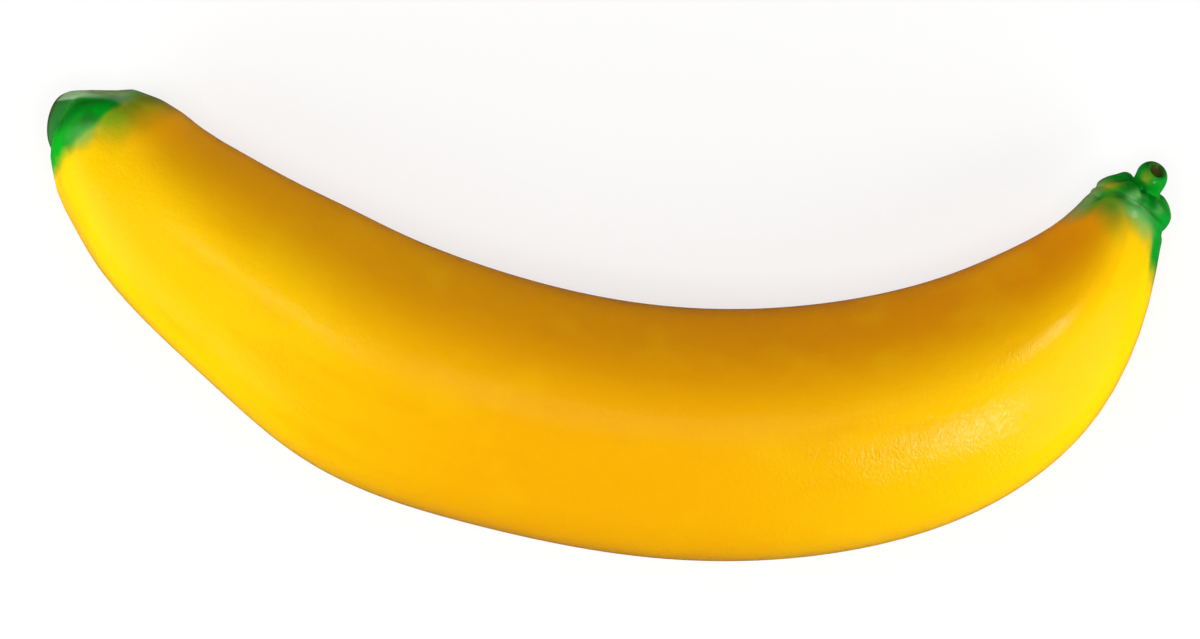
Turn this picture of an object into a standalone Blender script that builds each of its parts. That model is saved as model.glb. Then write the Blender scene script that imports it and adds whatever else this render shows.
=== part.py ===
"""An oversized imitation banana, lying on its side the way it comes to rest on a table.

It is one moulded piece: a bent, five-sided body with a short cut stalk at one end and, at the
other, a crown of five round lobes with a knob in the middle. The form is drawn flat, in the
plane of its bend, as ribs that run from the inner edge of the bend to the outer edge. In the
drawing x runs from the stalk to the crown, y towards the inner side of the bend, and w out of
the drawing, to the side that shows when the banana lies down.
"""
import math

import bmesh
import bpy
import numpy as np

# Driving dimensions, in millimetres and degrees.
NAME = "banana"
MM = 0.001
SIDES = 5                   # soft long sides, with a ridge between each two
SEGMENTS = 40               # faces round each rib, eight to a side
BODY_RINGS = 54             # rings along the long body
RIDGE_ANGLE = 18            # the ridge nearest the front, turned from w towards y
FLATNESS = 0.032            # how far the sides are flattened, as a share of the radius
THICKNESS = 0.92            # the body's size along w, as a share of its width in the drawing
STALK_TWIST = 26            # the ridges turn this far where they run up to the stalk
TWIST_LENGTH = 90           # and the turn dies out over this length of the body
ROLL = 9.7                  # how it settles: the hollow side of the bend sinks this far
PITCH = 1.4                 # and the crown end sinks this far
SOLE = 0.6                  # the soft piece flattens this much where it rests

# The long body: where each rib meets the inner edge and the outer edge of the bend.
BODY_RIBS = [
    ((-155.7, 77.0), (-182.2, 47.6)),
    ((-145.0, 72.9), (-180.8, 41.3)),
    ((-133.3, 64.4), (-174.9, 29.3)),
    ((-120.0, 56.3), (-167.3, 16.7)),
    ((-103.0, 46.9), (-149.9, -2.4)),
    ((-84.6, 38.0), (-128.1, -22.2)),
    ((-66.7, 29.2), (-103.2, -43.4)),
    ((-23.3, 13.5), (-44.9, -67.5)),
    ((23.3, 4.7), (20.0, -79.5)),
    ((70.0, 5.2), (83.3, -76.8)),
    ((116.8, 15.4), (139.6, -55.9)),
    ((136.7, 23.8), (161.7, -36.5)),
    ((150.1, 31.0), (175.4, -14.4)),
    ((158.3, 37.5), (183.0, 7.4)),
    ((162.9, 42.3), (186.7, 25.2)),
]

# The shoulder and the cut stalk, from the body outwards. Each rib also has its half thickness
# along w, how far it leans away from the front, and how far back its middle lies.
STALK_RIBS = [
    ((-160.3, 76.5), (-182.4, 49.6), 16.9, 6, 0.3),
    ((-165.0, 76.4), (-182.2, 51.2), 15.0, 12, 0.9),
    ((-169.0, 76.5), (-181.9, 52.4), 12.2, 16, 1.5),
    ((-172.4, 76.4), (-181.2, 53.2), 9.3, 19, 2.3),
    ((-175.4, 76.1), (-181.0, 54.2), 9.0, 22, 3.2),
    ((-178.0, 75.7), (-181.2, 55.1), 9.6, 24, 4.2),
]
# The cut face, as rings in the plane of the last rib: size, and height above that plane.
CUT_FACE = [(0.97, 0.15), (0.88, 0.2), (0.80, -0.4), (0.45, -0.7)]
CUT_CENTRE = -0.7

# The crown stands on the last rib of the body. Each ring has its height and radius on a lobe,
# then in the valley between two lobes.
CROWN_RINGS = [
    (1.2, 14.5, 1.2, 14.4),
    (2.2, 14.0, 2.2, 13.8),
    (3.0, 13.2, 3.1, 12.8),
    (3.9, 13.9, 4.3, 12.6),
    (5.4, 14.0, 5.8, 12.0),
    (7.2, 13.6, 7.3, 11.1),
    (8.9, 12.8, 8.6, 9.9),
    (10.5, 11.3, 9.7, 8.5),
    (12.0, 9.8, 10.5, 7.2),
    (12.8, 8.0, 11.1, 6.3),
    (12.7, 6.8, 11.5, 6.0),
    (12.3, 5.9, 11.9, 5.7),
]
LOBE_TURN = 11              # the lobes stand this far round from the ridges of the body
CREASE_RING = 2             # the crease under the lobes
TOP_RING = 9                # the highest ring of the lobes
CREASE_RISE = 3.6           # the crease runs this much higher on the front than at the sides

# The knob, a stub with a round end and a dimple: height and radius of each ring.
KNOB_RINGS = [
    (12.5, 5.4),
    (13.4, 5.2),
    (14.6, 5.25),
    (16.0, 5.4),
    (17.4, 5.35),
    (18.8, 4.9),
    (19.9, 4.1),
    (20.3, 3.4),
    (20.1, 2.8),
    (19.4, 2.2),
    (18.9, 1.3),
]
DIMPLE_DEPTH = 18.8         # height of the middle of the dimple

# How the axis of the crown and knob bends towards the front, and how far it drifts to the
# inner side, with height.
AXIS_HEIGHTS = (0, 11.5, 14.5, 18.5)
AXIS_LEAN = (0, 14, 26, 46)
DRIFT_HEIGHTS = (0, 4, 10, 13, 17)
DRIFT = (0, 0.5, -0.9, 0.4, 1.1)

OUT = np.array([0.0, 0.0, 1.0])     # along w


def smooth_curve(points, places):
    """Natural cubic spline through rows of points, read at places from 0 to 1 of its length."""
    points = np.asarray(points, float)
    step = np.linalg.norm(np.diff(points, axis=0), axis=1)
    at = np.concatenate([[0], np.cumsum(step)])
    slope = np.diff(points, axis=0) / step[:, None]
    count = len(points)
    system = np.eye(count)
    change = np.zeros_like(points)
    for i in range(1, count - 1):
        system[i, i - 1:i + 2] = step[i - 1], 2 * (step[i - 1] + step[i]), step[i]
        change[i] = 6 * (slope[i] - slope[i - 1])
    bend = np.linalg.solve(system, change)
    t = np.asarray(places) * at[-1]
    i = np.clip(np.searchsorted(at, t) - 1, 0, count - 2)
    back, ahead, gap = (t - at[i])[:, None], (at[i + 1] - t)[:, None], step[i][:, None]
    curve = (bend[i] * ahead**3 + bend[i + 1] * back**3) / (6 * gap)
    return (curve + (points[i] / gap - bend[i] * gap / 6) * ahead
            + (points[i + 1] / gap - bend[i + 1] * gap / 6) * back)


def round_angles(count=SEGMENTS):
    """Angles round a rib, from the front (0) to the inner side (a quarter turn) and on."""
    return np.arange(count) * 2 * math.pi / count


def five_sided(angles, flatness, twist):
    """A rounded pentagon's front and inward coordinates, each scaled to reach from -1 to 1."""
    def outline(a):
        radius = 1 + flatness * np.cos(SIDES * (a - math.radians(RIDGE_ANGLE + twist)))
        return radius * np.cos(a), radius * np.sin(a)

    front, inward = outline(angles)
    all_front, all_inward = outline(round_angles(720))
    middle = (all_inward.max() + all_inward.min()) / 2
    return front / all_front.max(), (inward - middle) / (all_inward.max() - middle)


def across(inner, outer):
    """A rib's middle, half width and inward direction, in the drawing's three coordinates."""
    inner, outer = np.append(inner, 0.0), np.append(outer, 0.0)
    half = np.linalg.norm(inner - outer) / 2
    return (inner + outer) / 2, half, (inner - outer) / (2 * half)


def body_rings():
    """The long body, as rings on smooth curves through the ends of its ribs."""
    ribs = np.array(BODY_RIBS)
    curve = smooth_curve(ribs.reshape(-1, 4), np.linspace(0, 1, BODY_RINGS))
    rings, run, last = [], 0.0, None
    for row in curve:
        middle, half, inward = across(row[:2], row[2:])
        run += 0 if last is None else np.linalg.norm(middle - last)
        last = middle
        twist = STALK_TWIST * max(0, 1 - run / TWIST_LENGTH) ** 2
        front, inner = five_sided(round_angles(), FLATNESS, twist)
        rings.append(middle + half * inner[:, None] * inward
                     + half * THICKNESS * front[:, None] * OUT)
    return rings


def stalk_rings():
    """The cut face, the stalk and the shoulder, from the very end to the body."""
    rings = []
    for number, (inner, outer, depth, lean, back) in enumerate(STALK_RIBS):
        middle, half, inward = across(inner, outer)
        middle = middle - back * OUT
        endwards = np.array([-inward[1], inward[0], 0.0])
        lean = math.radians(lean)
        front = math.cos(lean) * OUT + math.sin(lean) * endwards
        flatness = FLATNESS * (1 - (number + 1) / len(STALK_RIBS))
        x, y = five_sided(round_angles(), flatness, STALK_TWIST)
        ring = half * y[:, None] * inward + depth * x[:, None] * front
        rings.append(middle + ring)
    axis = math.cos(lean) * endwards - math.sin(lean) * OUT
    rings += [middle + size * ring + height * axis for size, height in CUT_FACE]
    centre = middle + CUT_CENTRE * axis
    return centre, rings[::-1]


def crown_place(height, radius, x, y, foot, inward, endwards):
    """A point of the crown, on its bent axis: x to the front and y inwards, times the radius."""
    steps = np.linspace(0, height, 40)
    lean = np.radians(np.interp(steps, AXIS_HEIGHTS, AXIS_LEAN))
    step = steps[1] - steps[0]
    along, out = np.cos(lean[1:]).sum() * step, np.sin(lean[1:]).sum() * step
    front = math.cos(lean[-1]) * OUT - math.sin(lean[-1]) * endwards
    drift = np.interp(height, DRIFT_HEIGHTS, DRIFT)
    axis_point = foot + along * endwards + out * OUT + drift * inward
    return axis_point + radius * (y * inward + x * front)


def crown_rings():
    """The lobed crown and the knob, from the body to the dimple at the very end."""
    foot, _, inward = across(*BODY_RIBS[-1])
    endwards = np.array([inward[1], -inward[0], 0.0])
    angles = round_angles()
    side = 2 * math.pi / SIDES
    lobe = math.radians(RIDGE_ANGLE + LOBE_TURN)
    from_lobe = np.abs((angles - lobe + side / 2) % side - side / 2)
    on_lobe = 1 - (from_lobe / (side / 2)) ** 3
    body_x, body_y = five_sided(angles, FLATNESS, 0)
    knob = [(height, radius, height, radius) for height, radius in KNOB_RINGS]
    rings = []
    for number, (lobe_h, lobe_r, valley_h, valley_r) in enumerate(CROWN_RINGS + knob):
        heights = valley_h + (lobe_h - valley_h) * on_lobe
        radii = valley_r + (lobe_r - valley_r) * on_lobe
        up = (number + 1) / (CREASE_RING + 1)
        down = (TOP_RING - number) / (TOP_RING - CREASE_RING)
        heights = heights + CREASE_RISE * max(0, min(up, down, 1)) * np.clip(np.cos(angles), 0, 1)
        rounder = min(number / 4, 1)
        squash = THICKNESS + (1 - THICKNESS) * min(number / len(CROWN_RINGS), 1)
        x = squash * (body_x + (np.cos(angles) - body_x) * rounder)
        y = body_y + (np.sin(angles) - body_y) * rounder
        rings.append(np.array([crown_place(*point, foot, inward, endwards)
                               for point in zip(heights, radii, x, y)]))
    centre = crown_place(DIMPLE_DEPTH, 0, 0, 0, foot, inward, endwards)
    return rings, centre


def laid_down(points):
    """Turns drawing coordinates to the resting pose, z up, and flattens what touches down."""
    roll, pitch = math.radians(-ROLL), math.radians(PITCH)
    about_x = np.array([[1, 0, 0],
                        [0, math.cos(roll), -math.sin(roll)],
                        [0, math.sin(roll), math.cos(roll)]])
    about_y = np.array([[math.cos(pitch), 0, math.sin(pitch)],
                        [0, 1, 0],
                        [-math.sin(pitch), 0, math.cos(pitch)]])
    placed = points @ (about_y @ about_x).T
    low, high = placed.min(axis=0), placed.max(axis=0)
    shift = np.array([(low[0] + high[0]) / 2, (low[1] + high[1]) / 2, low[2] + SOLE])
    placed = placed - shift
    placed[:, 2] = np.maximum(placed[:, 2], 0)
    print("the drawing's origin lies at", (-shift).round(3))
    return placed * MM


def banana_mesh():
    """A globe whose parallels become the rings and whose poles become the two end points."""
    first, stalk = stalk_rings()
    crown, last = crown_rings()
    rings = stalk + body_rings() + crown
    points = np.vstack([first[None], *rings, last[None]])
    bands = len(rings) + 1
    globe = bmesh.new()
    bmesh.ops.create_uvsphere(globe, u_segments=SEGMENTS, v_segments=bands, radius=1)
    places = laid_down(points)
    for vertex in globe.verts:
        x, y, z = vertex.co
        band = round(math.acos(max(-1, min(1, z))) / math.pi * bands)
        turn = round(math.atan2(y, x) / (2 * math.pi) * SEGMENTS) % SEGMENTS
        if band == 0:
            vertex.co = places[0]
        elif band == bands:
            vertex.co = places[-1]
        else:
            vertex.co = places[1 + (band - 1) * SEGMENTS + turn]
    mesh = bpy.data.meshes.new(NAME)
    globe.to_mesh(mesh)
    globe.free()
    mesh.shade_smooth()
    return mesh


def painted_vinyl():
    """Soft vinyl in a warm yellow paint; the green ends and brown tips are left to the finish."""
    material = bpy.data.materials.new("painted_vinyl")
    material.use_nodes = True
    shader = material.node_tree.nodes["Principled BSDF"]
    shader.inputs["Base Color"].default_value = (0.96, 0.54, 0.01, 1)
    shader.inputs["Roughness"].default_value = 0.42
    shader.inputs["Metallic"].default_value = 0.0
    return material


def main():
    for item in list(bpy.data.objects):
        bpy.data.objects.remove(item, do_unlink=True)
    collection = bpy.data.collections.new("imitation_banana")
    bpy.context.scene.collection.children.link(collection)
    banana = bpy.data.objects.new(NAME, banana_mesh())
    banana.data.materials.append(painted_vinyl())
    collection.objects.link(banana)


main()
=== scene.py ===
# %% [markdown]
# An oversized imitation banana, such as a shop window or a toy box has. The real one is cast in
# one piece of soft vinyl, sprayed yellow, and then sprayed green from both ends, with a little
# brown on the cut stalk and in the dimple of the knob. It lies on its side, and the camera looks
# down on it. The imported model gives its true size and place, so it is loaded first.

import math

import bmesh
import bpy
import numpy as np
from mathutils import Matrix, Vector


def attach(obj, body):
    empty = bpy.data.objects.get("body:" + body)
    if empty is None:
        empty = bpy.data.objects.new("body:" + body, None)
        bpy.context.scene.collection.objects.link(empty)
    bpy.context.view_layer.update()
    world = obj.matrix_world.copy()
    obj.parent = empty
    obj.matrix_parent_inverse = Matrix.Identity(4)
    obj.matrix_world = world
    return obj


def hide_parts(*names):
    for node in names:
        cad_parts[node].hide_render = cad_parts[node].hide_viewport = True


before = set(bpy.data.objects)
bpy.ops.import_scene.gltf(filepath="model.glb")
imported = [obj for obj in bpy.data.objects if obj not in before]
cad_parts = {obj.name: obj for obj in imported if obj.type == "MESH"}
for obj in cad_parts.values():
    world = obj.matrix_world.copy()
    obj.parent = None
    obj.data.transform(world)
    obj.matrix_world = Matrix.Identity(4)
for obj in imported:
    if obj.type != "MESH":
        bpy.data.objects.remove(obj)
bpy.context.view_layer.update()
MM = 0.001

# %% [markdown]
# The camera's place and the lights' places are easiest to say in the plane in which the banana
# bends: x runs along it, y towards the inner side of the bend, and the third axis out of the
# plane, to the camera. A banana that lies on a table has rolled until its weight is over its two
# flat spots, so that plane is tilted, by the same two angles as in the model. One matrix turns
# places in this drawing into places in the scene, which is less to get wrong than tilted numbers.

# %% The plane of the bend
ROLL = math.radians(-9.7)
PITCH = math.radians(1.4)
DRAWING_ORIGIN = Vector((-3.31, 2.30, 34.06)) * MM
DRAWING_TURN = Matrix.Rotation(PITCH, 4, "Y") @ Matrix.Rotation(ROLL, 4, "X")
DRAWING = Matrix.Translation(DRAWING_ORIGIN) @ DRAWING_TURN
to_front = DRAWING_TURN.to_3x3() @ Vector((0, 0, 1))
print("out of the plane of the bend:", [round(part, 3) for part in to_front])


# %% Small helpers
def colour(code):
    """An sRGB hex code as linear red, green, blue and alpha."""
    parts = [int(code[i:i + 2], 16) / 255 for i in (1, 3, 5)]
    return [c / 12.92 if c <= 0.04045 else ((c + 0.055) / 1.055) ** 2.4 for c in parts] + [1.0]


def select_only(item):
    """Leaves one object selected and active, so that an operator acts on it alone."""
    bpy.ops.object.select_all(action="DESELECT")
    item.select_set(True)
    bpy.context.view_layer.objects.active = item


# %% [markdown]
# The cast shape is a copy of the model's node, because the node itself stays as it is for the
# collision. Its triangles are loose, so the copy's doubles are merged before anything else.

# %% Copy the cast shape
MERGE_GAP = 0.01 * MM
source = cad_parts["banana"]
banana = source.copy()
banana.data = source.data.copy()
banana.name = banana.data.name = "cast_banana"
bpy.context.scene.collection.objects.link(banana)
select_only(banana)
bpy.ops.object.mode_set(mode="EDIT")
bpy.ops.mesh.select_all(action="SELECT")
bpy.ops.mesh.remove_doubles(threshold=MERGE_GAP)
bpy.ops.object.mode_set(mode="OBJECT")
print("merged points:", len(banana.data.vertices))

# %% [markdown]
# The model's mesh is a grid of columns that run from the pole in the knob's dimple to the cut
# stalk, cut into triangles. The rings of the grid are found by walking outwards from that pole,
# edge by edge. Each ring is then matched to the next, column by column, and every edge that isn't
# in a column or a ring is a diagonal that can be dissolved. A grid of quads subdivides smoothly,
# and it also tells how far along and how far round the banana each point lies, for the paint.

# %% Find the rings
shape = bmesh.new()
shape.from_mesh(banana.data)
LAYER_NAMES = ("along", "front", "inner")
layers = [shape.verts.layers.float.new(name) for name in LAYER_NAMES]
POLE_EDGES = 20
pole = max((v for v in shape.verts if len(v.link_edges) > POLE_EDGES), key=lambda v: v.co.x)
met = {pole}
ring, rings = [pole], []
while ring:
    rings.append(ring)
    others = [edge.other_vert(vertex) for vertex in ring for edge in vertex.link_edges]
    ring = list(dict.fromkeys(other for other in others if other not in met))
    met.update(ring)
COLUMNS = len(rings[1])
print("rings:", len(rings), "columns:", COLUMNS)


def in_turn(ring):
    """The vertices of a ring in the order in which its own edges join them."""
    members, order = set(ring), [ring[0]]
    while len(order) < len(ring):
        members.discard(order[-1])
        others = [edge.other_vert(order[-1]) for edge in order[-1].link_edges]
        order.append(next(other for other in others if other in members))
    return order


def beside(ring, following):
    """The following ring, turned so that each vertex has an edge to the one in this ring."""
    choices = []
    for order in (following, following[::-1]):
        for shift in range(COLUMNS):
            turned = order[shift:] + order[:shift]
            if all(shape.edges.get(pair) for pair in zip(ring, turned)):
                length = sum((one.co - other.co).length for one, other in zip(ring, turned))
                choices.append((length, turned))
    return min(choices, key=lambda choice: choice[0])[1]


# %% Put the rings in columns and dissolve the diagonals
grid = [in_turn(rings[1])]
for ring in rings[2:-1]:
    grid.append(beside(grid[-1], in_turn(ring)))
bmesh.ops.delete(shape, geom=rings[-1], context="VERTS")
kept = {shape.edges.get((ring[i - 1], ring[i])) for ring in grid for i in range(COLUMNS)}
kept |= {shape.edges.get(pair) for one, other in zip(grid, grid[1:]) for pair in zip(one, other)}
kept |= set(pole.link_edges)
diagonals = [edge for edge in shape.edges if edge not in kept]
bmesh.ops.dissolve_edges(shape, edges=diagonals, use_verts=False)
print("diagonals:", len(diagonals), "faces:", len(shape.faces))

# %% [markdown]
# A spray gun follows the banana, so the paint needs coordinates that follow it too. The distance
# along is measured through the middles of the rings, and the turn round it from the column that
# faces the camera. The turn is kept as a cosine and a sine, which have no jump at the back.

# %% Measure along and round the banana
stations = grid[::-1] + [[pole]]
middles = np.array([np.mean([v.co[:] for v in ring], axis=0) for ring in stations])
steps = np.linalg.norm(np.diff(middles, axis=0), axis=1)
run = np.concatenate([[0], np.cumsum(steps)]) / MM
waist = grid[len(grid) // 2]
top = max(range(COLUMNS), key=lambda i: waist[i].co @ to_front)
inwards = 1 if waist[(top + COLUMNS // 4) % COLUMNS].co.y > waist[top].co.y else -1
for distance, ring in zip(run, stations):
    for column, vertex in enumerate(ring):
        turn = inwards * (column - top) * 2 * math.pi / COLUMNS
        for layer, value in zip(layers, (distance, math.cos(turn), math.sin(turn))):
            vertex[layer] = value
print("length along the middle in mm:", round(run[-1], 1))

# %% [markdown]
# The ends are small and full of detail, so the grid is made finer there. Only the long edges that
# run along the banana are cut, which adds rings and leaves the columns as they are.

# %% Add rings near the two ends
LONG_BAND = 4
STALK_BANDS = 14
CROWN_BANDS = 30
ADDED_RINGS = 2
bands = list(zip(stations, stations[1:-1]))
near_ends = bands[:STALK_BANDS] + bands[-CROWN_BANDS:]
lengthways = [shape.edges.get(pair) for one, other in near_ends for pair in zip(one, other)]
long_ones = [edge for edge in lengthways if edge.calc_length() / MM > LONG_BAND]
bmesh.ops.subdivide_edges(shape, edges=long_ones, cuts=ADDED_RINGS, use_grid_fill=True)
shape.to_mesh(banana.data)
shape.free()
print("faces with the added rings:", len(banana.data.polygons))

# %% [markdown]
# The stalk of the real one ends in a small cut face, a little hollow, where the mould was filled.
# Its rim is still open here, so it is closed the way one would by hand: extrude the rim, scale it
# down, and merge the last ring in the middle.

# %% Close the cut end of the stalk
CUT_RINGS = (0.8, 0.55)
cut_middle = Vector(middles[0])
bpy.ops.object.mode_set(mode="EDIT")
bpy.ops.mesh.select_mode(type="VERT")
bpy.ops.mesh.select_all(action="DESELECT")
bpy.ops.mesh.select_non_manifold()
for share in CUT_RINGS:
    bpy.ops.mesh.extrude_region_move()
    bpy.ops.transform.resize(value=(share, share, share), center_override=cut_middle)
bpy.ops.mesh.merge(type="CENTER")
bpy.ops.mesh.select_all(action="SELECT")
bpy.ops.mesh.normals_make_consistent(inside=False)
bpy.ops.object.mode_set(mode="OBJECT")
print("faces with the cut end:", len(banana.data.polygons))

# %% [markdown]
# Cast vinyl has no sharp edges, and a subdivision surface has none either. It is applied at once,
# because the marks that follow are made point by point on the smooth surface.

# %% Smooth it
smooth = banana.modifiers.new("smooth", "SUBSURF")
smooth.levels = smooth.render_levels = 2
bpy.ops.object.modifier_apply(modifier=smooth.name)
banana.data.shade_smooth()
count = len(banana.data.vertices)
print("faces:", len(banana.data.polygons))


# %% Read the smooth surface
def read(source, name, size=1):
    """One value or vector for each vertex, as an array."""
    values = np.empty(count * size, dtype=np.float32)
    source.foreach_get(name, values)
    return values.reshape(count, size) if size > 1 else values


spots = read(banana.data.vertices, "co", 3) / MM
normals = read(banana.data.vertices, "normal", 3)
kept_layers = [banana.data.attributes[name].data for name in LAYER_NAMES]
distances, cosines, sines = (read(layer, "value") for layer in kept_layers)
angles = np.degrees(np.arctan2(sines, cosines))
edges = np.empty(len(banana.data.edges) * 2, dtype=np.int32)
banana.data.edges.foreach_get("vertices", edges)
edges = edges.reshape(-1, 2)
pairs = np.concatenate([edges, edges[:, ::-1]])
neighbours = np.bincount(pairs[:, 0], minlength=count)


def averaged(values, turns):
    """Values or vectors, each turned into the mean of its neighbours a number of times."""
    values = values.reshape(count, -1)
    for _ in range(turns):
        sums = [np.bincount(pairs[:, 0], weights=column[pairs[:, 1]], minlength=count)
                for column in values.T]
        values = np.stack(sums, axis=1) / neighbours[:, None]
    return values


lengths = np.linalg.norm(spots[edges[:, 0]] - spots[edges[:, 1]], axis=1)
print("longest edge in mm:", round(float(lengths.max()), 2))

# %% [markdown]
# The mould was made from a model in clay, so the banana has marks that a modelling tool left:
# grooves under and between the lobes of the crown, a crest and a few wrinkles beside the stalk,
# and thin raised lines. Each is a stroke along a path, pressed in or raised with a soft
# cross-section. A path is written as places along the banana, in mm, with the angle round it from
# the front, in degrees, and a stroke also has its width and its height in mm. Strokes stay short
# and few, as on the real one, and the sides that the camera doesn't see have a few of their own.


# %% A tool for strokes
PATH_STEPS = 24
MARGIN_WIDTHS = 3
FAR = 99.0


def reach(path, width):
    """How near each vertex is to a path: 1 on it, and nothing from about twice the width."""
    path = np.array(path, dtype=float)
    stops = np.concatenate([np.linspace(one, other, PATH_STEPS) for one, other in zip(path, path[1:])])
    margin = MARGIN_WIDTHS * width
    near = (distances > path[:, 0].min() - margin) & (distances < path[:, 0].max() + margin)
    gap = np.full(count, FAR)
    for distance, degrees in stops:
        sideways = np.radians((angles[near] - degrees + 180) % 360 - 180) * radius[near]
        gap[near] = np.minimum(gap[near], np.hypot(distances[near] - distance, sideways))
    return np.exp(-(gap / width) ** 2)


middle_of = np.stack([np.interp(distances, run, axis / MM) for axis in middles.T], axis=1)
radius = np.linalg.norm(spots - middle_of, axis=1)
print("radius from", round(float(radius.min()), 1), "to", round(float(radius.max()), 1), "mm")

# %% Press and raise the strokes
STROKE_BLUR = 2
CREASE = [(418.7, 51), (420.8, 42), (421.7, 27), (422.8, 18), (422.2, 7), (423.3, -7), (423, -16),
          (422.6, -31), (421.9, -46)]
CREASE_BEHIND = [(421.9, -46), (420.8, -68), (421.5, -100), (421, -128), (421.8, -160),
                 (421.2, -190), (420.6, -220), (420, -255), (418.9, -285), (418.7, -309)]
STROKES = [
    ([(2.4, 66), (8.5, 37), (11.2, 36), (15.1, 33), (18, 34), (23, 32)], 1.0, 0.5),
    ([(8, 27), (9.6, 28), (12.5, 24)], 1.4, -0.35),
    ([(5.3, 31), (5.1, 11), (6.0, -9), (7.3, -21)], 1.1, -0.55),
    ([(10.4, 3), (10.8, 11), (10.8, 21), (11, 28)], 0.7, 0.35),
    ([(16.6, -27.6), (19.8, -20.2), (23.9, -11.2)], 0.6, 0.28),
    ([(16.7, -11.7), (18.5, -9), (19.8, -9), (20.7, -12.9), (19.7, -18)], 0.6, 0.3),
    ([(17.9, -12.1), (19.2, -11.2), (19.5, -15)], 0.6, 0.25),
    ([(10.1, -34.3), (13.1, -37.7), (16.5, -36.8)], 0.7, 0.35),
    ([(8, -70), (12, -84), (19, -88)], 1.1, 0.35),
    ([(4.6, -120), (5.4, -150), (6.2, -175)], 1.2, -0.45),
    ([(11, -140), (15, -148), (22, -146)], 0.9, 0.3),
    (CREASE, 0.8, -0.55),
    (CREASE_BEHIND, 0.9, -0.4),
    ([(423.3, -6.8), (428.2, -2.2), (431.9, 0.6)], 0.9, -0.55),
    ([(421.5, 66), (427, 64), (431, 63)], 1.0, -0.45),
    ([(421.3, -80), (427, -78), (431.5, -74)], 1.0, -0.5),
    ([(421.6, -150), (427, -153), (431.5, -150)], 1.0, -0.45),
    ([(420.6, 138), (427, 136), (431.5, 139)], 1.0, -0.5),
    ([(418.1, 17.5), (414.8, 22.5), (410.5, 26.5)], 0.7, 0.3),
    ([(421.9, -46), (418.6, -47), (414, -46), (408, -45.5)], 0.8, 0.45),
    ([(419.5, -118), (414, -116), (408, -117)], 0.9, 0.35),
    ([(419.5, 172), (414, 170), (409, 171)], 0.9, 0.35),
]
moved = sum(height * reach(path, width) for path, width, height in STROKES)
moved = averaged(moved, STROKE_BLUR)
spots += normals * moved
banana.data.vertices.foreach_set("co", (spots * MM).astype(np.float32).ravel())
banana.data.update()
print("strokes:", len(STROKES), "deepest and highest in mm:", moved.min().round(2), moved.max().round(2))

# %% [markdown]
# The paint also depends on the shape. It is painted darker in the creases, as painted shade. How far
# each point lies below its surroundings is kept as one more attribute. Some places come from how the
# spray gun was held: thin spots where the yellow shows through. Others are painted light: facets
# with a painted highlight, and deep green patches of painted shade. Each of those is a path like a
# stroke's, with its width in mm and with how strong it is.

# %% Mark the hollows, the painted highlights, the thin spots and the painted shade
# Facets with a painted highlight, pale green.
SHEEN_PATHS = [
    ([(424.2, 8), (427.2, 8), (428.5, 4)], 1.5, 1.0),
    ([(426.6, -35), (428.5, -38), (429, -41)], 1.0, 0.55),
    ([(421, -6), (420.4, -20), (418.6, -33)], 3.4, 0.75),
    ([(14.4, -20), (14.8, -9)], 3.2, 0.72),
    ([(425, -110), (429, -118)], 1.8, 0.9),
    ([(425, 168), (429, 177)], 1.8, 0.8),
    ([(14, -95), (15.5, -108)], 1.6, 0.8),
]
THIN = [
    ([(424.2, 52), (425.4, 45)], 2.4, 0.75),
    ([(437.2, 12), (438.2, 15)], 1.7, 0.4),
    ([(426, -140), (424.5, -160)], 1.6, 0.7),
    ([(12, 140), (13.5, 155)], 1.8, 0.8),
]
# Patches of painted shade, deep green: beside the stalk's crest, in the crown's creases, round the
# dimple.
SHADE_PATHS = [
    ([(7.0, -12), (7.6, 5), (8.2, 18), (9.8, 27), (12.5, 31)], 2.3, 1.0),
    ([(12, -2), (12.8, 4)], 1.6, 0.9),
    ([(422.4, 28), (423.2, 12), (424.2, -5), (428, -3), (432, 0)], 0.9, 1.0),
    ([(424.3, -5), (424, -16), (423.2, -34)], 0.8, 0.9),
    ([(440.0, 80), (440.4, 130), (440.2, 200)], 1.2, 0.9),
    ([(436, 170), (438, 190)], 2.0, 0.6),
]
SURROUNDINGS = 12
DEPTH_BLUR = 3
MARK_BLUR = 2
depth = ((averaged(spots, SURROUNDINGS) - spots) * normals).sum(axis=1)
depth = averaged(depth, DEPTH_BLUR)
marks = {"hollow": depth}
for name, places in (("painted_sheen", SHEEN_PATHS), ("thin", THIN), ("painted_shade", SHADE_PATHS)):
    nearness = sum(amount * reach(path, width) for path, width, amount in places)
    marks[name] = averaged(nearness, MARK_BLUR).clip(0, 1)
for name, values in marks.items():
    layer = banana.data.attributes.new(name, "FLOAT", "POINT")
    layer.data.foreach_set("value", values.astype(np.float32).ravel())
print("hollow depth, least and most, in mm:", depth.min().round(2), depth.max().round(2))

# %% [markdown]
# The paint is a flexible vinyl paint from a spray gun. It is built up as nodes in the order in
# which the coats went on, each coat a colour over the one before, with a mask that says where it
# is. One small function adds a node: it sets what the node does, links or fills its inputs, and
# returns the output that the next node reads. An input's name is written with an underscore for a
# space, and an input without a name of its own by its number.

# %% A helper for nodes
paint = bpy.data.materials.new("sprayed_soft_vinyl")
paint.use_nodes = True
paint.node_tree.nodes.clear()


def add(kind, settings=None, output=None, **inputs):
    """Adds a node to the paint and returns its named output, or else its first."""
    node = paint.node_tree.nodes.new(kind)
    for name, value in (settings or {}).items():
        setattr(node, name, value)
    sockets = [socket for socket in node.inputs if socket.enabled]
    for name, value in inputs.items():
        if name[1:].isdigit():
            socket = sockets[int(name[1:])]
        else:
            socket = next(s for s in sockets if s.name == name.replace("_", " "))
        if isinstance(value, bpy.types.NodeSocket):
            paint.node_tree.links.new(value, socket)
        else:
            socket.default_value = colour(value) if isinstance(value, str) else value
    outputs = [socket for socket in node.outputs if socket.enabled]
    return next((s for s in outputs if s.name == output), outputs[0] if outputs else None)


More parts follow.
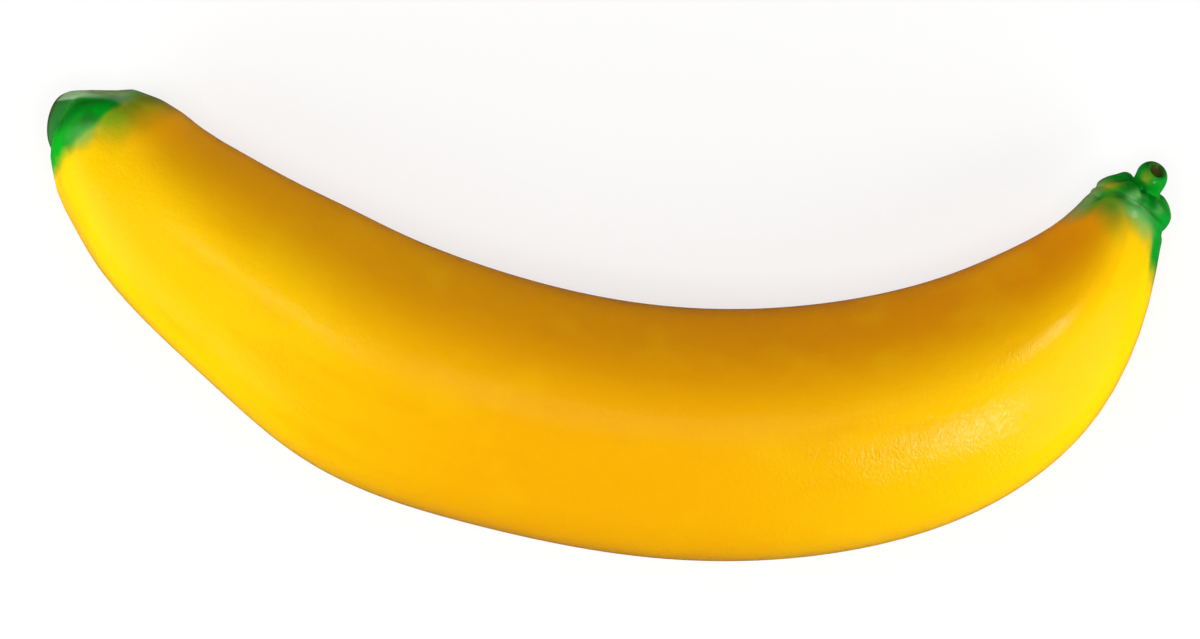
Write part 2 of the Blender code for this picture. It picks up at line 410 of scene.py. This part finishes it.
NOISE = "ShaderNodeTexNoise"
MIX = "ShaderNodeMix"
RANGE = "ShaderNodeMapRange"
MATH = "ShaderNodeMath"
READ = "ShaderNodeAttribute"
SOFTLY = {"interpolation_type": "SMOOTHSTEP"}
COLOURS = {"data_type": "RGBA"}
PLUS = {"operation": "ADD"}
LESS = {"operation": "SUBTRACT"}
TIMES = {"operation": "MULTIPLY"}
TIMES_PLUS = {"operation": "MULTIPLY_ADD"}
MOST = {"operation": "MAXIMUM"}
print("material:", paint.name)

# %% Coordinates for the coats
place = add("ShaderNodeTexCoord", output="Object")
along, front, inner = (add(READ, {"attribute_name": name}, "Fac") for name in LAYER_NAMES)
hollow, painted_sheen, thin, painted_shade = (add(READ, {"attribute_name": name}, "Fac") for name in marks)
BODY_RADIUS = 35.0
front_mm = add(MATH, TIMES, i0=front, i1=BODY_RADIUS)
inner_mm = add(MATH, TIMES, i0=inner, i1=BODY_RADIUS)
straight = add("ShaderNodeCombineXYZ", X=along, Y=front_mm, Z=inner_mm)
print("coordinates and marks:", len(paint.node_tree.nodes), "nodes")

# %% [markdown]
# Yellow covers all of it. The base is golden, and it is painted a lighter lemon at the two ends as
# painted light, where the light is brightest. The inner side of the bend faces away from the lamps
# and is painted more orange as painted shade, most of all towards the crown. Faint long streaks show
# the passes of the gun, and soft blotches a few centimetres wide keep it from looking like plain
# plastic.

# %% The yellow
LIT_LEMON, GOLD = "#FDC904", "#F9B104"
STALK_SHADE_ORANGE, CROWN_SHADE_ORANGE = "#F5AA08", "#F29905"
STREAK_ORANGE, BLOTCH_YELLOW = "#F0A002", "#FFC60A"
STREAK_LENGTH, STREAK_WIDTH = 60, 14
BLOTCH = 26 * MM
# Painted shade: the inner side is more orange. Painted light: the two ends are lemon.
shaded_inner_side = add(RANGE, SOFTLY, Value=inner, From_Min=-0.25, From_Max=0.7)
towards_crown = add(RANGE, Value=along, From_Min=120, From_Max=400)
shade_orange = add(MIX, COLOURS, Factor=towards_crown, A=STALK_SHADE_ORANGE, B=CROWN_SHADE_ORANGE)
past_stalk = add(RANGE, SOFTLY, Value=along, From_Min=80, From_Max=190)
before_crown = add(RANGE, SOFTLY, Value=along, From_Min=370, From_Max=230)
in_the_middle = add(MATH, TIMES, i0=past_stalk, i1=before_crown)
lit_lemon = add(MIX, COLOURS, Factor=in_the_middle, A=LIT_LEMON, B=GOLD)
yellow = add(MIX, COLOURS, Factor=shaded_inner_side, A=lit_lemon, B=shade_orange)
streak_scale = (1 / STREAK_LENGTH, 1 / STREAK_WIDTH, 1 / STREAK_WIDTH)
stretched = add("ShaderNodeMapping", Vector=straight, Scale=streak_scale)
streaks = add(NOISE, Vector=stretched, Scale=1.0, Detail=4.0, Roughness=0.6)
streak_cover = add(RANGE, SOFTLY, Value=streaks, From_Min=0.5, From_Max=0.8, To_Max=0.45)
yellow = add(MIX, COLOURS, Factor=streak_cover, A=yellow, B=STREAK_ORANGE)
blotches = add(NOISE, Vector=place, Scale=1 / BLOTCH, Detail=2.0, Roughness=0.5)
blotch_cover = add(RANGE, SOFTLY, Value=blotches, From_Min=0.5, From_Max=0.75, To_Max=0.3)
yellow = add(MIX, COLOURS, Factor=blotch_cover, A=yellow, B=BLOTCH_YELLOW)
print("with the yellow:", len(paint.node_tree.nodes), "nodes")

# %% [markdown]
# Green is sprayed on each end, so its edge is a fade of several millimetres that wanders. The edge
# is a distance along the banana. At the stalk it is nearly level, and at the crown it runs down the
# inner side and the outer side and stops just below the lobes in front. On the inner side of both
# ends the drifting overspray makes a wider olive fade beyond it.

# %% Where the green lies at the stalk
WANDER = 9 * MM
WANDER_REACH = 5.0
STALK_EDGE = 15.2
STALK_EDGE_RISE = 1.8
wander = add(NOISE, Vector=place, Scale=1 / WANDER, Detail=3.0, Roughness=0.5)
wander = add(MATH, TIMES_PLUS, i0=wander, i1=WANDER_REACH, i2=-WANDER_REACH / 2)
from_stalk = add(MATH, PLUS, i0=along, i1=wander)
stalk_edge = add(MATH, TIMES_PLUS, i0=inner, i1=STALK_EDGE_RISE, i2=STALK_EDGE)
past_edge = add(MATH, LESS, i0=from_stalk, i1=stalk_edge)
stalk_green = add(RANGE, SOFTLY, Value=past_edge, From_Min=4.0, From_Max=-2.5)
stalk_drift = add(RANGE, SOFTLY, Value=past_edge, From_Min=13.0, From_Max=0.0, To_Max=0.76)
stalk_side = add(RANGE, SOFTLY, Value=inner, From_Min=-0.3, From_Max=0.2)
stalk_olive = add(MATH, TIMES, i0=stalk_drift, i1=stalk_side)
print("green from 0 to about", STALK_EDGE, "mm at the stalk")

# %% Where the green lies at the crown
CROWN_EDGE = 418.3
DOWN_INNER = -13.0
DOWN_OUTER = -7.5
from_crown = add(MATH, LESS, i0=along, i1=wander)
down_inner = add(RANGE, SOFTLY, Value=inner, From_Min=0.62, From_Max=0.96, To_Max=DOWN_INNER)
down_outer = add(RANGE, SOFTLY, Value=inner, From_Min=-0.66, From_Max=-0.84, To_Max=DOWN_OUTER)
crown_edge = add(MATH, PLUS, i0=down_inner, i1=down_outer)
before_edge = add(MATH, LESS, i0=crown_edge, i1=from_crown)
before_edge = add(MATH, PLUS, i0=before_edge, i1=CROWN_EDGE)
crown_green = add(RANGE, SOFTLY, Value=before_edge, From_Min=6.0, From_Max=-4.0)
crown_drift = add(RANGE, SOFTLY, Value=before_edge, From_Min=14.5, From_Max=-1.0, To_Max=0.85)
crown_side = add(RANGE, SOFTLY, Value=inner, From_Min=-0.4, From_Max=0.35)
crown_olive = add(MATH, TIMES, i0=crown_drift, i1=crown_side)
print("green from about", CROWN_EDGE, "mm at the crown")

# %% One mask for all the green
SHEEN_COVER = 1.1
greens = add(MATH, MOST, i0=stalk_green, i1=crown_green)
olives = add(MATH, MOST, i0=stalk_olive, i1=crown_olive)
cover = add(MATH, MOST, i0=greens, i1=olives)
# Facets with a painted highlight are also green over the yellow.
sheen_cover = add(MATH, TIMES, i0=painted_sheen, i1=SHEEN_COVER)
cover = add(MATH, MOST, i0=cover, i1=sheen_cover)
print("with the masks:", len(paint.node_tree.nodes), "nodes")

# %% [markdown]
# The green itself is a clear leaf green. It is painted darker in the hollows and in marked patches,
# as painted shade, and greyer on the flanks and the side of the stub, partly a dry overspray and
# partly a painted reflection. It is yellow-green where it is thin and the yellow shows through, and
# pale on marked facets, as a painted highlight.

# %% The green
STALK_LEAF, CROWN_LEAF = "#03A41E", "#049026"
CREASE_SHADE_GREEN, CLOUD_GREEN, SHADE_GREEN = "#026818", "#058A1C", "#016418"
STUB_GREY_AND_SHEEN, STALK_GREY_AND_SHEEN, CROWN_GREY_AND_SHEEN = "#32703A", "#98C4A0", "#84A06A"
THIN_GREEN, SHEEN_GREEN = "#C8B808", "#86C878"
CLOUD = 7 * MM
which_end = add(RANGE, Value=along, From_Min=200, From_Max=240)
green = add(MIX, COLOURS, Factor=which_end, A=STALK_LEAF, B=CROWN_LEAF)
# Painted shade: the green is darker in the creases.
crease_shade = add(RANGE, SOFTLY, Value=hollow, From_Min=0.05, From_Max=0.35)
green = add(MIX, COLOURS, Factor=crease_shade, A=green, B=CREASE_SHADE_GREEN)
clouds = add(NOISE, Vector=place, Scale=1 / CLOUD, Detail=2.0, Roughness=0.5)
in_clouds = add(RANGE, SOFTLY, Value=clouds, From_Min=0.45, From_Max=0.7)
green = add(MIX, COLOURS, Factor=in_clouds, A=green, B=CLOUD_GREEN)
# The stub's side is greyer: partly a dry overspray, partly a painted reflection.
stub_side = add(RANGE, SOFTLY, Value=along, From_Min=6.5, From_Max=3.5, To_Max=0.85)
green = add(MIX, COLOURS, Factor=stub_side, A=green, B=STUB_GREY_AND_SHEEN)
print("with the clear green:", len(paint.node_tree.nodes), "nodes")

# %% The grey flanks, the painted shade, the thin spots and the painted highlights
# The flanks are greyer: partly a dry overspray, partly a painted reflection of the white surroundings.
flank = add(RANGE, SOFTLY, Value=inner, From_Min=0.47, From_Max=0.57)
near_stalk = add(RANGE, SOFTLY, Value=along, From_Min=18, From_Max=12)
stalk_flank = add(MATH, TIMES, i0=flank, i1=near_stalk)
green = add(MIX, COLOURS, Factor=stalk_flank, A=green, B=STALK_GREY_AND_SHEEN)
flank = add(RANGE, SOFTLY, Value=inner, From_Min=0.72, From_Max=0.92)
below_lobes = add(RANGE, SOFTLY, Value=along, From_Min=429, From_Max=421, To_Max=0.85)
crown_half = add(RANGE, SOFTLY, Value=along, From_Min=200, From_Max=210)
crown_flank = add(MATH, TIMES, i0=flank, i1=below_lobes)
crown_flank = add(MATH, TIMES, i0=crown_flank, i1=crown_half)
green = add(MIX, COLOURS, Factor=crown_flank, A=green, B=CROWN_GREY_AND_SHEEN)
# Dark green as painted shade, yellow-green where the coat is thin, pale green as a painted highlight.
for mark, most, coat in ((painted_shade, 0.8, SHADE_GREEN), (thin, 0.9, THIN_GREEN), (painted_sheen, 0.62, SHEEN_GREEN)):
    share = add(MATH, TIMES, i0=mark, i1=most)
    green = add(MIX, COLOURS, Factor=share, A=green, B=coat)
painted = add(MIX, COLOURS, Factor=cover, A=yellow, B=green)
print("with the green:", len(paint.node_tree.nodes), "nodes")

# %% [markdown]
# A little brown was dabbed on last, on the rim of the cut stalk and in the dimple. It is thin and
# uneven, so some green shows through it.

# %% The brown of the cut stalk and the dimple
LIGHT_BROWN, DARK_BROWN = "#55501E", "#2C200C"
BROWN_COVER = 0.92
DAB = 3 * MM
dabs = add(NOISE, Vector=place, Scale=1 / DAB, Detail=2.0, Roughness=0.5)
uneven = add(MATH, PLUS, i0=along, i1=dabs)
cut = add(RANGE, SOFTLY, Value=uneven, From_Min=2.5, From_Max=1.3)
dimple = add(RANGE, SOFTLY, Value=uneven, From_Min=440.2, From_Max=441.6)
brown = add(MIX, COLOURS, Factor=dabs, A=LIGHT_BROWN, B=DARK_BROWN)
brown_cover = add(MATH, MOST, i0=cut, i1=dimple)
brown_cover = add(MATH, TIMES, i0=brown_cover, i1=BROWN_COVER)
painted = add(MIX, COLOURS, Factor=brown_cover, A=painted, B=brown)
print("with the brown:", len(paint.node_tree.nodes), "nodes")

# %% [markdown]
# Soft vinyl paint dries to a satin sheen. The yellow has a fine leathery skin, with ripples from
# 1.5 to 2 mm wide that break up the highlight and fade out towards the crown. The green is a wetter
# coat that fills them, so it is smoother and glossier. Under both, the casting has shallow
# unevenness a few centimetres wide. The pits are drawn at 0.9 mm, coarser than the real grain, so
# that they show. The specular level is low, because the real paint throws back little white light.

# %% The sheen and the grain
LEAST_ROUGHNESS, DULL_ROUGHNESS, GREEN_GLOSS = 0.1, 0.1, 0.03
DULL_PATCH = 6 * MM
RIPPLE_ALONG, RIPPLE_ROUND, RIPPLE_DEPTH = 1.5, 1.9, 0.17 * MM
RIPPLES_FILLED = 0.75
PIT, PIT_DEPTH = 0.9 * MM, 0.035 * MM
DENT, DENT_DEPTH = 22 * MM, 0.5 * MM
SPECULAR = 0.15
dull = add(NOISE, Vector=place, Scale=1 / DULL_PATCH, Detail=3.0, Roughness=0.5)
dull = add(MATH, TIMES_PLUS, i0=dull, i1=DULL_ROUGHNESS, i2=LEAST_ROUGHNESS)
roughness = add(MATH, TIMES_PLUS, i0=greens, i1=-GREEN_GLOSS, i2=dull)
ripple_scale = (1 / RIPPLE_ALONG, 1 / RIPPLE_ROUND, 1 / RIPPLE_ROUND)
rippled = add("ShaderNodeMapping", Vector=straight, Scale=ripple_scale)
ripples = add(NOISE, Vector=rippled, Scale=1.0, Detail=2.0, Roughness=0.5, Distortion=1.0)
filled = add(MATH, TIMES_PLUS, i0=greens, i1=-RIPPLES_FILLED, i2=1.0)
ripples = add(MATH, TIMES, i0=ripples, i1=filled)
calm = add(RANGE, SOFTLY, Value=along, From_Min=345, From_Max=400, To_Min=1.0, To_Max=0.25)
ripples = add(MATH, TIMES, i0=ripples, i1=calm)
pits = add(NOISE, Vector=place, Scale=1 / PIT, Detail=2.0, Roughness=0.5)
dents = add(NOISE, Vector=place, Scale=1 / DENT, Detail=1.0, Roughness=0.5)
BUMP = "ShaderNodeBump"
normal = add(BUMP, Strength=1.0, Distance=DENT_DEPTH, Height=dents)
normal = add(BUMP, Strength=1.0, Distance=RIPPLE_DEPTH, Height=ripples, Normal=normal)
normal = add(BUMP, Strength=1.0, Distance=PIT_DEPTH, Height=pits, Normal=normal)
surface = add("ShaderNodeBsdfPrincipled", Base_Color=painted, Roughness=roughness, IOR=1.5,
              Specular_IOR_Level=SPECULAR, Normal=normal)
add("ShaderNodeOutputMaterial", Surface=surface)
print("nodes in the paint:", len(paint.node_tree.nodes))

# %% Paint the banana and say what it stands for
banana.data.materials.clear()
banana.data.materials.append(paint)
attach(banana, "root")
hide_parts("banana")
print("painted:", banana.name)

# %% [markdown]
# The banana lies on a plain white sheet. The photograph's ground is an even white, so the sheet
# glows of its own, which keeps the shadow in the bend light. The light that comes back from below
# is warm in the photograph, so the white sheet is seen by the camera alone, and a straw-coloured
# card just below it sends the light back up.

# %% Floor
SHEET_SIZE = 8
CARD_ROUGHNESS = 0.9


def sheet(name, height, code, glow):
    """A large level sheet of matt card that may glow a little."""
    bpy.ops.mesh.primitive_plane_add(size=SHEET_SIZE, location=(0, 0, height))
    item = bpy.context.object
    item.name = name
    card = bpy.data.materials.new(name + "_card")
    card.use_nodes = True
    shader = card.node_tree.nodes["Principled BSDF"]
    shader.inputs["Base Color"].default_value = colour(code)
    shader.inputs["Roughness"].default_value = CARD_ROUGHNESS
    shader.inputs["Specular IOR Level"].default_value = 0.0
    shader.inputs["Emission Color"].default_value = (1, 1, 1, 1)
    shader.inputs["Emission Strength"].default_value = glow
    item.data.materials.append(card)
    item.visible_glossy = False
    return item


floor = sheet("floor", 0, "#8E8E8E", 0.73)
floor.visible_diffuse = False
floor.visible_shadow = False
bounce = sheet("bounce", -1 * MM, "#F6E478", 0.0)
bounce.visible_camera = False
print("floor:", [round(length, 2) for length in floor.dimensions])

# %% [markdown]
# Two large soft boxes stand low at the left and the right, close enough for the ends to be brighter
# than the middle, and a third hangs over the middle. They give the soft light and no mirror image.
# The satin highlight along the outer side comes from a long narrow lamp that only the gloss sees,
# and two weaker ones give the pale streak at the left and the glints on the crown. The lamps for
# the gloss hang high, because a low one would dazzle from the far side.

# %% Lights
WORLD_LIGHT = 0.07
world = bpy.data.worlds.new("studio")
bpy.context.scene.world = world
world.use_nodes = True
world.node_tree.nodes["Background"].inputs["Color"].default_value = (1, 1, 1, 1)
world.node_tree.nodes["Background"].inputs["Strength"].default_value = WORLD_LIGHT


def soft_box(name, place, size, power, in_gloss, long_way=(1, 0, 0)):
    """A soft light in the drawing's coordinates, in metres, that faces its origin."""
    lamp = bpy.data.lights.new(name, "AREA")
    lamp.shape = "RECTANGLE"
    lamp.size, lamp.size_y = size
    lamp.energy = power
    item = bpy.data.objects.new(name, lamp)
    bpy.context.scene.collection.objects.link(item)
    away = Vector(place).normalized()
    across = away.cross(Vector(long_way)).normalized()
    turn = Matrix((across.cross(away), across, away)).transposed().to_4x4()
    item.matrix_world = DRAWING @ Matrix.Translation(place) @ turn
    item.visible_camera = False
    item.visible_glossy = in_gloss
    item.visible_diffuse = not in_gloss
    print(name, "stands", round(Vector(place).length, 2), "m away")


soft_box("right_box", (0.65, -0.25, 0.23), (0.5, 0.5), 4.3, False)
soft_box("left_box", (-0.6, -0.1, 0.2), (0.5, 0.5), 3.45, False)
soft_box("top_box", (0, -0.1, 1.0), (0.5, 0.5), 5.1, False)
soft_box("sheen_strip", (0.45, -0.37, 0.61), (0.27, 0.035), 1.0, True, (0.89, 0.28, -0.37))
soft_box("streak_strip", (-0.38, -0.03, 0.7), (0.25, 0.04), 0.24, True, (0.58, -0.74, 0.34))
soft_box("crown_lamp", (0.55, 0.12, 0.62), (0.16, 0.16), 0.8, True)

# %% [markdown]
# The camera looks straight down on the plane of the bend from arm's length, and its lens gives the
# photograph's 3 pixels to the millimetre. The colours are shown as they are, with no film curve.

# %% Camera
CAMERA_DISTANCE = 1.15
SENSOR_WIDTH = 36
PIXELS_PER_MM = 3.0
PHOTO_WIDTH = 1200
camera_data = bpy.data.cameras.new("camera")
camera_data.sensor_width = SENSOR_WIDTH
camera_data.lens = SENSOR_WIDTH * PIXELS_PER_MM * CAMERA_DISTANCE / MM / PHOTO_WIDTH
camera = bpy.data.objects.new("camera", camera_data)
bpy.context.scene.collection.objects.link(camera)
camera.matrix_world = DRAWING @ Matrix.Translation((0, 0, CAMERA_DISTANCE))
bpy.context.scene.camera = camera
bpy.context.scene.view_settings.view_transform = "Standard"
print("lens in mm:", round(camera_data.lens, 1))
